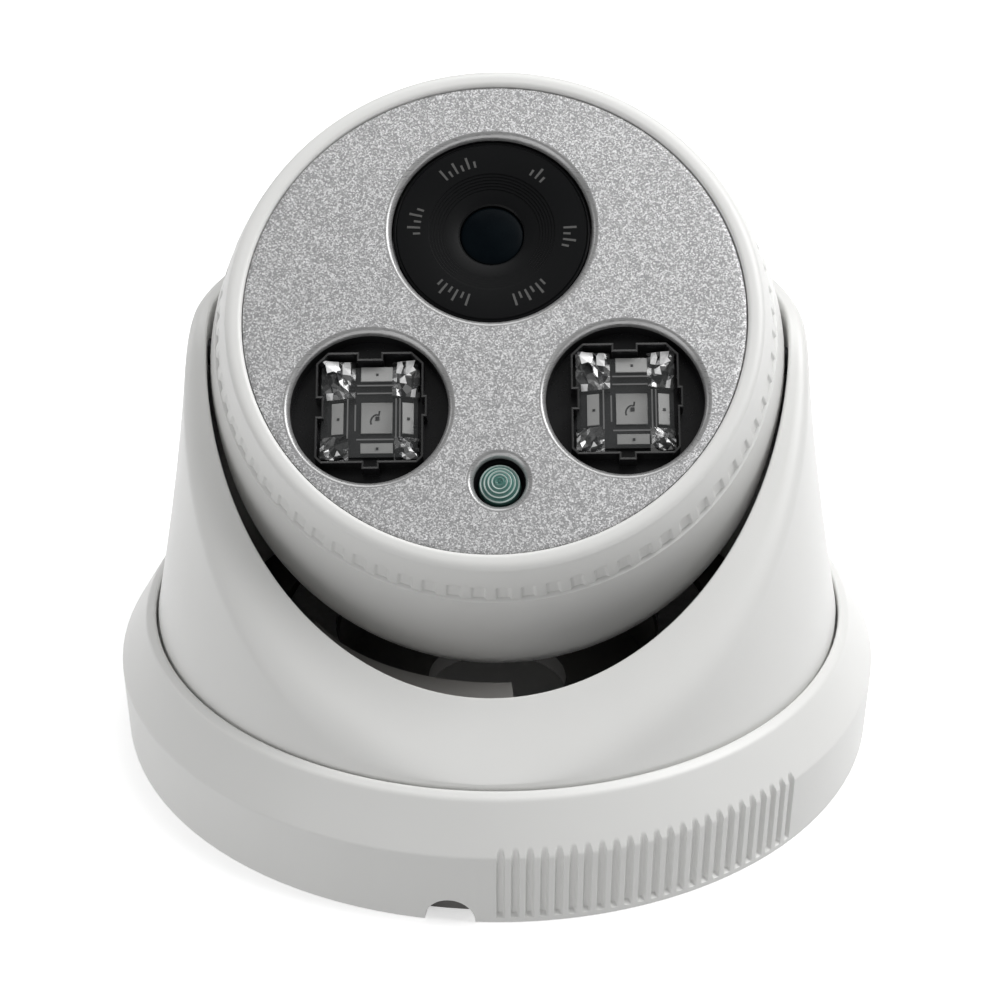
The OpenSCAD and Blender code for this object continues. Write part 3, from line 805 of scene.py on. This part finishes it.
def make_face_plate():
    """Silver plate with a rounded edge on every hole and short black walls behind the holes."""
    bm = bmesh.new()
    back = FACE_W - PLATE_T
    rim = [(PLATE_R - 0.8, FACE_W), (PLATE_R - PLATE_ROUND, FACE_W), (PLATE_R - 0.07, FACE_W - 0.07),
           (PLATE_R, FACE_W - PLATE_ROUND), (PLATE_R, back)]
    rings = [add_ring(bm, 0, 0, r, w, 180) for r, w in rim]
    bridge_rings(bm, rings)
    fronts, backs = [rings[0]], [rings[-1]]
    for x, y, radius in FACE_HOLES:
        inner = radius - HOLE_BEVEL
        count = 120 if radius > SENSOR_HOLE else 72
        edge = [(radius + 0.25, FACE_W), (radius, FACE_W), (radius - 0.22, FACE_W - 0.12),
                (radius - 0.5, FACE_W - 0.38), (inner, FACE_W - 0.75), (inner, FACE_W - PAINTED_DEPTH)]
        wall = [(inner, BOARD_W + 0.05), (inner + HOLE_WALL, BOARD_W + 0.05), (inner + HOLE_WALL, back)]
        edge_rings = [add_ring(bm, x, y, r, w, count) for r, w in edge]
        wall_rings = [add_ring(bm, x, y, r, w, count) for r, w in wall]
        bridge_rings(bm, edge_rings, 2)
        bridge_rings(bm, [edge_rings[-1]] + wall_rings, 1)
        fronts.append(edge_rings[0])
        backs.append(wall_rings[-1])
    fill_between(bm, fronts)
    fill_between(bm, backs)
    plate = finish_mesh("face_plate_shell", mesh_of(bm, "face_plate_shell"), FACE, SILVER)
    plate.data.materials.append(BLACK)
    plate.data.materials.append(BEVEL_SILVER)
    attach(plate, "front")
    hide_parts("face_plate")


# ---- lens ----


def at_hole(x, y):
    """Place whose origin lies on the axis of a face hole."""
    return FACE @ Matrix.Translation(Vector((x, y, 0)) * MM)


def make_lens_trim():
    """Black ring that steps down to the lens, with a fine groove near its rim."""
    outline = [(SCALE_RING_IN, TRIM_W)]
    for i in range(TRIM_STEPS):
        r = SCALE_RING_IN - i * TRIM_STEP
        w = TRIM_W - i * TRIM_DROP
        outline += [(r - 0.08, w - 0.015), (r - 0.12, w - TRIM_DROP + 0.015), (r - 0.2, w - TRIM_DROP)]
    last_w = TRIM_W - TRIM_STEPS * TRIM_DROP
    bore_r = GLASS_R + GLASS_GAP
    outline += [(SCALE_RING_IN - TRIM_STEPS * TRIM_STEP, last_w), (GLASS_R + 0.35, last_w - GLASS_DROP),
                (bore_r, last_w - GLASS_DROP - 0.2), (bore_r, last_w - TUBE_DEPTH),
                (TUBE_R, last_w - TUBE_DEPTH), (TUBE_R + 0.8, BOARD_W - 1.3), (TRIM_R - 0.2, BOARD_W - 0.9),
                (TRIM_R, TRIM_W - 0.35), (TRIM_R - 0.1, TRIM_W - 0.2), (TRIM_R - 0.35, TRIM_W - 0.14),
                (TRIM_R - 0.45, TRIM_W - 0.2), (TRIM_R - 0.6, TRIM_W)]
    outline = [Vector(p) for p in reversed(outline)]
    trim = turned("lens_trim_steps", outline, TRIM_BLACK, place=at_hole(0, LENS_UP),
                  azimuths=even_turn(160), sharp=math.radians(25))
    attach(trim, "front")
    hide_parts("lens_trim")


def make_lens_glass():
    """Domed front glass with a flat back."""
    top_w = TRIM_W - TRIM_STEPS * TRIM_DROP - GLASS_DROP
    dome = [Vector((GLASS_R * math.sin(t), top_w - GLASS_DOME + GLASS_DOME * math.cos(t)))
            for t in (math.pi / 2 * (1 - k / 12) for k in range(13))]
    outline = [Vector((0, top_w - 1.0)), Vector((GLASS_R, top_w - 1.0))] + dome
    glass = turned("lens_front_glass", outline, LENS_GLASS, place=at_hole(0, LENS_UP),
                   azimuths=even_turn(96))
    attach(glass, "front")
    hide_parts("lens_front_element")


def add_mark(bm, corners):
    """Thin raised stroke of the scale on four corners."""
    middle = sum(corners, Vector()) / 4
    base = [bm.verts.new(c - Vector((0, 0, 0.05))) for c in corners]
    top = [bm.verts.new(middle + (c - middle) * 0.94 + Vector((0, 0, 0.035))) for c in corners]
    bridge_rings(bm, [base, top])
    bm.faces.new(top)
    bm.faces.new(base[::-1])


def lens_point(r, degrees):
    """Point of the lens ring's face; the angle starts at the top."""
    angle = math.radians(degrees)
    return Vector((r * math.sin(angle), r * math.cos(angle), TRIM_W))


def make_scale_marks():
    """Six short scales on the lens ring, each of long and short ticks."""
    bm = bmesh.new()
    for group, (middle, count) in enumerate(SCALES):
        start = middle - (count - 1) / 2 * TICK_PITCH
        for i in range(count):
            angle = start + i * TICK_PITCH
            high = SCALE_R + (TICK_LONG if i % 2 == group % 2 else TICK_SHORT)
            add_mark(bm, [lens_point(SCALE_R, angle + TICK_HALF), lens_point(high, angle + TICK_HALF),
                          lens_point(high, angle - TICK_HALF), lens_point(SCALE_R, angle - TICK_HALF)])
    marks = finish_mesh("lens_scale_marks", mesh_of(bm, "lens_scale_marks"), at_hole(0, LENS_UP),
                        MARK_GREY)
    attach(marks, "front")


# ---- light sensor ----


def paint_ridge_highlights(dome):
    """Gives the crests of the dome's ridges a lighter colour: painted highlights."""
    dome.data.materials.append(TEAL_PAINTED_HIGHLIGHT)
    inverse = at_hole(0, -SENSOR_DOWN).inverted()
    for face in dome.data.polygons:
        place = inverse @ face.center / MM
        r = math.hypot(place.x, place.y)
        on_crest = math.cos(r / RIDGE_PITCH * TAU + 0.9) > 0.3
        # Crests of the ridges take the painted highlight
        if place.z > BOARD_W + 1.2 and r > RIDGE_PITCH and on_crest:
            face.material_index = 1


def make_sensor():
    """Small dome with ring-shaped ridges, in a dark well."""
    outline = []
    for k in range(61):
        r = SENSOR_R * k / 60
        dome_w = SENSOR_TOP_W - SENSOR_CURVE * r * r
        outline.append(Vector((r, dome_w + RIDGE_H * math.cos(r / RIDGE_PITCH * TAU))))
    edge_w = outline[-1].y
    well_r = SENSOR_HOLE - HOLE_BEVEL
    outline += [Vector((SENSOR_R + 0.12, edge_w - 0.25)), Vector((SENSOR_R + 0.12, BOARD_W + 0.7)),
                Vector((well_r - 0.08, BOARD_W + 0.6)), Vector((well_r - 0.08, BOARD_W + 0.05)),
                Vector((0, BOARD_W + 0.05))]
    dome = turned("sensor_dome", outline, TEAL, place=at_hole(0, -SENSOR_DOWN), azimuths=even_turn(96),
                  sharp=math.radians(50))
    paint_ridge_highlights(dome)
    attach(dome, "front")
    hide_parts("light_sensor_lens")
    well = [Vector(p) for p in (
        (SENSOR_R + 0.2, BOARD_W + 0.62), (well_r - 0.03, BOARD_W + 0.62), (well_r - 0.03, BOARD_W + 1.5),
        (SENSOR_R + 0.45, BOARD_W + 1.1), (SENSOR_R + 0.2, BOARD_W + 0.9))]
    collar = turned("sensor_collar", well, BLACK, place=at_hole(0, -SENSOR_DOWN),
                    azimuths=even_turn(72))
    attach(collar, "front")


# ---- infrared arrays ----


def offset_outline(points, distance):
    """Closed outline moved sideways by a distance, with mitred corners."""
    moved = []
    for i, point in enumerate(points):
        before = (point - points[i - 1]).normalized()
        after = (points[(i + 1) % len(points)] - point).normalized()
        side_a, side_b = Vector((before.y, -before.x)), Vector((after.y, -after.x))
        mitre = (side_a + side_b) / (1 + side_a.dot(side_b))
        moved.append(point + mitre * distance)
    return moved


def tray_path():
    """Middle line of the array's frame: cut corners, a notch at the top, a tab below and side steps."""
    x, low, high = 7.55, -7.95, 8.55
    low_cut, high_cut = 0.8, 1.6
    bottom = [(-x + low_cut, low), (-0.85, low), (-0.85, low - 0.9), (1.3, low - 0.9), (1.3, low),
              (x - low_cut, low)]
    right = [(x, low + low_cut), (x, -1.0), (x + 0.5, -1.0), (x + 0.5, 1.9), (x, 1.9), (x, high - high_cut)]
    top = [(x - high_cut, high), (1.75, high), (1.75, high - 1.0), (-1.7, high - 1.0), (-1.7, high),
           (-x + high_cut, high)]
    left = [(-x, high - high_cut), (-x, 1.9), (-x + 0.9, 1.9), (-x + 0.9, -1.2), (-x, -1.2),
            (-x, low + low_cut)]
    return [Vector(p) for p in bottom + right + top + left]


def at_array(side):
    """Place of an infrared array, turned a little against the face."""
    return at_hole(side * IR_SIDE, -IR_DOWN) @ Matrix.Rotation(ARRAY_TURN, 4, "Z")


def make_tray(side, name):
    """Thin upright frame round the array, with a painted highlight on its top edge, dimmer where that edge
    runs up and down, and a dark floor in it.
    """
    bm = bmesh.new()
    outer = offset_outline(tray_path(), TRAY_WALL / 2)
    inner = offset_outline(tray_path(), -TRAY_WALL / 2)
    loops = ((inner, BOARD_W), (outer, BOARD_W), (outer, TRAY_W - TRAY_BEVEL_DOWN),
             (offset_outline(outer, -TRAY_BEVEL), TRAY_W), (offset_outline(inner, TRAY_BEVEL), TRAY_W),
             (inner, TRAY_W - TRAY_BEVEL_DOWN))
    rings = [[bm.verts.new((p.x, p.y, w)) for p in loop] for loop, w in loops]
    bridge_rings(bm, rings[:3])
    # The top bevel takes the painted highlight, and the dimmer one where it runs up and down
    bridge_rings(bm, rings[2:], 1)
    for face in bm.faces:
        xs, ys = [v.co.x for v in face.verts], [v.co.y for v in face.verts]
        if face.material_index == 1 and max(xs) - min(xs) < 1.5 * (max(ys) - min(ys)):
            face.material_index = 2
    bridge_rings(bm, [rings[-1], rings[0]])
    across, along = TRAY_FLOOR
    floor_low = [bm.verts.new((x * across, y * along, BOARD_W)) for x, y in SQUARE]
    floor_top = [bm.verts.new((x * across, y * along, BOARD_W + TRAY_FLOOR_T)) for x, y in SQUARE]
    bridge_rings(bm, [floor_low, floor_top])
    bm.faces.new(floor_top)
    bm.faces.new(floor_low[::-1])
    tray = finish_mesh(name, mesh_of(bm, name), at_array(side), TRAY_BLACK)
    tray.data.materials.append(TRAY_EDGE_HIGHLIGHT)
    tray.data.materials.append(TRAY_SIDE_DIM_HIGHLIGHT)
    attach(tray, "front")


def add_slab(bm, corners, thickness, material_index=0, inset=0.08):
    """Thin plate on four corners, with a bevelled top edge."""
    middle = sum(corners, Vector()) / 4
    normal = (corners[1] - corners[0]).cross(corners[3] - corners[0]).normalized()
    top = [c + normal * thickness for c in corners]
    crown = [c + (middle + normal * thickness - c).normalized() * inset + normal * inset * 0.6 for c in top]
    rings = [[bm.verts.new(c) for c in loop] for loop in (corners, top, crown)]
    bridge_rings(bm, rings, material_index)
    bm.faces.new(rings[-1]).material_index = material_index
    bm.faces.new(rings[0][::-1]).material_index = material_index


def strip_corners(start, end, half_width):
    """Corners of a thin strip from start to end."""
    across = (end - start).normalized().cross(Vector((0, 0, 1))) * half_width
    return [start - across, end - across, end + across, start + across]


def chip_corners(x, y, width, height, w, lean_x, lean_y):
    """Corners of a chip's face; lean_x and lean_y are its slopes."""
    corners = []
    for a, b in SQUARE:
        right, up = a * width / 2, b * height / 2
        corners.append(Vector((x + right, y + up, w + right * lean_x + up * lean_y)))
    return corners


def wire_path(size):
    """Bond wire of a chip, seen from the front: a short lead and a curl."""
    path = [Vector((0.11, 0.3, 0)) * size]
    for k in range(WIRE_POINTS):
        t = k / WIRE_POINTS
        angle = 2.6 + 3.1 * t
        curl = Vector((0.28 * math.sin(angle) * (0.55 + 0.45 * t), -0.12 - 0.26 * math.cos(angle), 0))
        path.append(curl * size)
    return path


def make_chips(side, name):
    """The light source and four leaning copies of it, painted images of it as the optic's facets show it,
    each with a die and its wire.
    """
    bm = bmesh.new()
    for x, y, width, height, w, lean_x, lean_y in CHIPS:
        add_slab(bm, chip_corners(x, y, width, height, w, lean_x, lean_y), CHIP_T)
        size = min(width, height)
        die = max(size * DIE_SHARE, DIE_LEAST)
        add_slab(bm, chip_corners(x + 0.1, y - 0.1, die, die, w + 0.15, lean_x, lean_y), CHIP_T, 1, 0.03)
        middle = Vector((x, y, 0))
        wire = [middle + point for point in wire_path(size * 0.8)]
        for start, end in zip(wire, wire[1:]):
            corners = strip_corners(start, end, WIRE_HALF)
            for c in corners:
                c.z = w + 0.17 + (c.x - x) * lean_x + (c.y - y) * lean_y
            add_slab(bm, corners, 0.06, 1, 0.02)
    chips = finish_mesh(name, mesh_of(bm, name), at_array(side), CHIP_GREY)
    chips.data.materials.append(EPOXY)
    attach(chips, "front")
    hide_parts("ir_led_left" if side < 0 else "ir_led_right")


def crystal_grid(bm, draw, x0, y0, x1, y1):
    """Rows of facet corners, uneven inside, that rise towards the zone's diagonal."""
    cells = CRYSTAL_CELLS
    grid = []
    for j in range(cells + 1):
        line = []
        for i in range(cells + 1):
            inside = 0 < i < cells and 0 < j < cells
            shift = CRYSTAL_SHIFT if inside else 0.0
            x = x0 + (x1 - x0) * (i + draw.uniform(-shift, shift)) / cells
            y = y0 + (y1 - y0) * (j + draw.uniform(-shift, shift)) / cells
            ridge = 1 - abs(i / cells - j / cells)
            lift = draw.uniform(-CRYSTAL_LIFT, CRYSTAL_LIFT) * (1 if inside else 0.4)
            line.append(bm.verts.new((x, y, CRYSTAL_W + CRYSTAL_RISE * ridge + lift)))
        grid.append(line)
    return grid


def make_crystals(side, name):
    """Cut corners of the clear optic: closed blocks with a raised diagonal and many small facets, some
    painted white as highlights.
    """
    draw = random.Random(CRYSTAL_SEED)
    bm = bmesh.new()
    cells = CRYSTAL_CELLS
    for x0, y0, x1, y1 in CORNER_ZONES:
        highlight_cells = PAINTED_HIGHLIGHT_TOP if y0 > 0 else PAINTED_HIGHLIGHT_BOTTOM
        grid = crystal_grid(bm, draw, x0, y0, x1, y1)
        for j in range(cells):
            for i in range(cells):
                a, b, c, d = grid[j][i], grid[j][i + 1], grid[j + 1][i + 1], grid[j + 1][i]
                # Cells in the listed sets are painted white as highlights
                bm.faces.new((a, b, c)).material_index = int((i, j) in highlight_cells)
                bm.faces.new((a, c, d)).material_index = int((i, j) in highlight_cells and y0 > 0)
        border = [(0, i) for i in range(cells)] + [(j, cells) for j in range(cells)]
        border += [(cells, i) for i in range(cells, 0, -1)] + [(j, 0) for j in range(cells, 0, -1)]
        top = [grid[j][i] for j, i in border]
        bottom = [bm.verts.new((v.co.x, v.co.y, BOARD_W + 0.3)) for v in top]
        bridge_rings(bm, [bottom, top])
        bm.faces.new(bottom)
    crystals = finish_mesh(name, mesh_of(bm, name), at_array(side), CRYSTAL)
    crystals.data.materials.append(FACET_PAINTED_HIGHLIGHT)
    crystals.data.shade_flat()
    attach(crystals, "front")


def make_optic(side, name):
    """Clear cover of the array: a raised middle with sloping sides."""
    bm = bmesh.new()
    loops = ((OPTIC_EDGE, OPTIC_EDGE_W + OPTIC_T), (PLATEAU, PLATEAU_W + OPTIC_T), (PLATEAU, PLATEAU_W),
             (OPTIC_EDGE, OPTIC_EDGE_W))
    rings = [[bm.verts.new((x, y, w)) for x, y in loop] for loop, w in loops]
    bridge_rings(bm, [rings[0], rings[1]])
    bridge_rings(bm, [rings[2], rings[3]])
    bridge_rings(bm, [rings[3], rings[0]])
    bm.faces.new(rings[1])
    bm.faces.new(rings[2][::-1])
    optic = finish_mesh(name, mesh_of(bm, name), at_array(side), CLEAR_SKIN)
    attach(optic, "front")
    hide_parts("ir_lens_left" if side < 0 else "ir_lens_right")


def make_ridges(side, name):
    """Thin grey strips along the raised middle of the optic: painted highlights of its edges."""
    bm = bmesh.new()
    (x0, y0), (x1, y1) = PLATEAU[0], PLATEAU[2]
    lines = (((x0 + 1.3, y1), (x1 - 0.2, y1)), ((x0 + 1.3, y0), (x1 - 0.3, y0)),
             ((x0, y0 + 0.2), (x0, y1 - 2.0)), ((x0 + 1.1, y0 + 1.3), (x0 + 1.1, y1 - 2.9)),
             ((x1, y0 + 0.2), (x1, y1 - 2.0)), ((x1 + 0.55, y0 + 0.2), (x1 + 0.55, y1 - 2.0)),
             ((x0 + 1.3, y1 - 1.2), (x1 - 0.6, y1 - 1.2)))
    for start, end in lines:
        corners = strip_corners(Vector((*start, EDGE_LINE_W)), Vector((*end, EDGE_LINE_W)), EDGE_LINE_HALF)
        add_slab(bm, corners, 0.08, 0, 0.05)
    ridges = finish_mesh(name, mesh_of(bm, name), at_array(side), RIDGE_PAINTED_HIGHLIGHT)
    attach(ridges, "front")


def make_arrays():
    """Both arrays, each of a frame, chips, cut corners, a clear cover and its edge lines."""
    for side, word in ((-1, "left"), (1, "right")):
        make_tray(side, "array_tray_" + word)
        make_chips(side, "array_chips_" + word)
        make_crystals(side, "array_crystals_" + word)
        make_optic(side, "array_optic_" + word)
        make_ridges(side, "array_ridges_" + word)


# ---- CAD nodes ----

NODE_MATERIALS = {
    # The base plate, turret floor and cable guard take darkened materials as painted shade
    "base_plate": INNER_PAINTED_SHADE, "turret_floor": INNER_PAINTED_SHADE, "cable_guard": GUARD_PAINTED_SHADE, "pan_washer": NATURAL,
    "board_connector": NATURAL, "pan_retainer": STEEL, "pan_retainer_screws": STEEL,
    "turret_screws": STEEL, "pivot_screw_left": ANODISED, "pivot_screw_right": ANODISED,
    "roll_retainer": STEEL, "roll_retainer_screws": STEEL, "board_screws": STEEL,
    "base_ring": WHITE, "turret_housing": WHITE, "head_shell": WHITE, "front_ring": WHITE,
    "tilt_friction_strip": RUBBER, "head_cable_grommet": RUBBER, "face_gasket": RUBBER,
    "face_plate": SILVER, "lens_trim": BLACK, "lens_holder": BLACK, "lens_barrel": ANODISED,
    "lens_front_element": FILTER, "lens_rear_element": FILTER, "day_night_filter": FILTER,
    "image_sensor": EPOXY, "processor_chip": EPOXY, "main_board": BOARD_GREEN,
    "ir_board": BOARD_BLACK, "board_standoffs": BRASS, "heat_spreader": ALUMINIUM,
    "ir_led_left": GREY, "ir_led_right": GREY, "ir_lens_left": ACRYLIC, "ir_lens_right": ACRYLIC,
    "light_sensor": EPOXY, "light_sensor_lens": FILTER,
}


def dress_nodes():
    """Gives every CAD node its material; some inner parts are darkened as painted shade."""
    for name, node in nodes.items():
        node.data.materials.clear()
        node.data.materials.append(NODE_MATERIALS[name])


# ---- studio and camera ----


def place_looking(name, data, azimuth, elevation, distance, aim):
    """Object for a light or a camera, at a distance from a point and turned to look at it."""
    a, e = math.radians(azimuth), math.radians(elevation)
    back = Vector((math.sin(a) * math.cos(e), -math.cos(a) * math.cos(e), math.sin(e)))
    placed = bpy.data.objects.new(name, data)
    placed.location = aim + back * distance
    placed.rotation_mode = "QUATERNION"
    placed.rotation_quaternion = (-back).to_track_quat("-Z", "Y")
    bpy.context.scene.collection.objects.link(placed)
    return placed


def area_light(name, azimuth, elevation, distance, side, power):
    """Soft square light that looks at the object's middle."""
    data = bpy.data.lights.new(name, "AREA")
    data.shape = "SQUARE"
    data.size = side
    data.energy = power
    place_looking(name, data, azimuth, elevation, distance, LIGHT_AIM)


def make_world():
    """Soft light all round, brighter from below, as it comes off a white floor."""
    world = bpy.data.worlds.new("studio")
    world.use_nodes = True
    tree = world.node_tree
    coords = tree.nodes.new("ShaderNodeTexCoord")
    split = tree.nodes.new("ShaderNodeSeparateXYZ")
    height = tree.nodes.new("ShaderNodeMapRange")
    height.inputs["From Min"].default_value = WORLD_LOW
    height.inputs["From Max"].default_value = WORLD_HIGH
    height.inputs["To Min"].default_value = WORLD_BELOW
    height.inputs["To Max"].default_value = WORLD_ABOVE
    background = tree.nodes["Background"]
    tree.links.new(coords.outputs["Generated"], split.inputs["Vector"])
    tree.links.new(split.outputs["Z"], height.inputs["Value"])
    tree.links.new(height.outputs["Result"], background.inputs["Strength"])
    background.inputs["Color"].default_value = (1, 1, 1, 1)
    bpy.context.scene.world = world


def make_floor():
    """Plain white floor that glows and doesn't light the object; under the object a grey disc of painted
    shade takes the place of the glow.
    """
    floor_material, shader = new_material("floor", (0.9, 0.9, 0.9), 0.8)
    shader.inputs["Emission Color"].default_value = (1, 1, 1, 1)
    shader.inputs["Emission Strength"].default_value = FLOOR_GLOW
    floor_shade_material, _ = new_material("floor_painted_shade", (0.35, 0.35, 0.35), 0.8)
    bm = bmesh.new()
    covered = add_ring(bm, 0, 0, FLOOR_SHADE_R, 0, 96)
    edge = add_ring(bm, 0, 0, FLOOR_R, 0, 96)
    bridge_rings(bm, [edge, covered])
    # The disc under the object is grey painted shade and does not glow
    bm.faces.new(covered).material_index = 1
    mesh = mesh_of(bm, "floor")
    mesh.materials.append(floor_material)
    mesh.materials.append(floor_shade_material)
    floor = bpy.data.objects.new("floor", mesh)
    floor.visible_diffuse = False
    bpy.context.scene.collection.objects.link(floor)


def make_studio():
    """Soft lights, an even surround and a pale floor."""
    for light in LIGHTS:
        area_light(*light)
    make_world()
    make_floor()


def make_camera():
    """Camera at the photograph's viewing angle."""
    data = bpy.data.cameras.new("camera")
    data.lens = CAMERA_LENS
    data.sensor_width = 36
    data.clip_start = 0.01
    bpy.context.scene.camera = place_looking("camera", data, CAMERA_AZIMUTH, CAMERA_ELEVATION,
                                             CAMERA_DISTANCE, CAMERA_AIM)


make_camera()
dress_nodes()
make_base_ring()
make_housing()
make_head_shell()
make_front_ring()
make_face_plate()
make_lens_trim()
make_lens_glass()
make_scale_marks()
make_sensor()
make_arrays()
make_studio()
bpy.context.scene.view_settings.view_transform = "Standard"
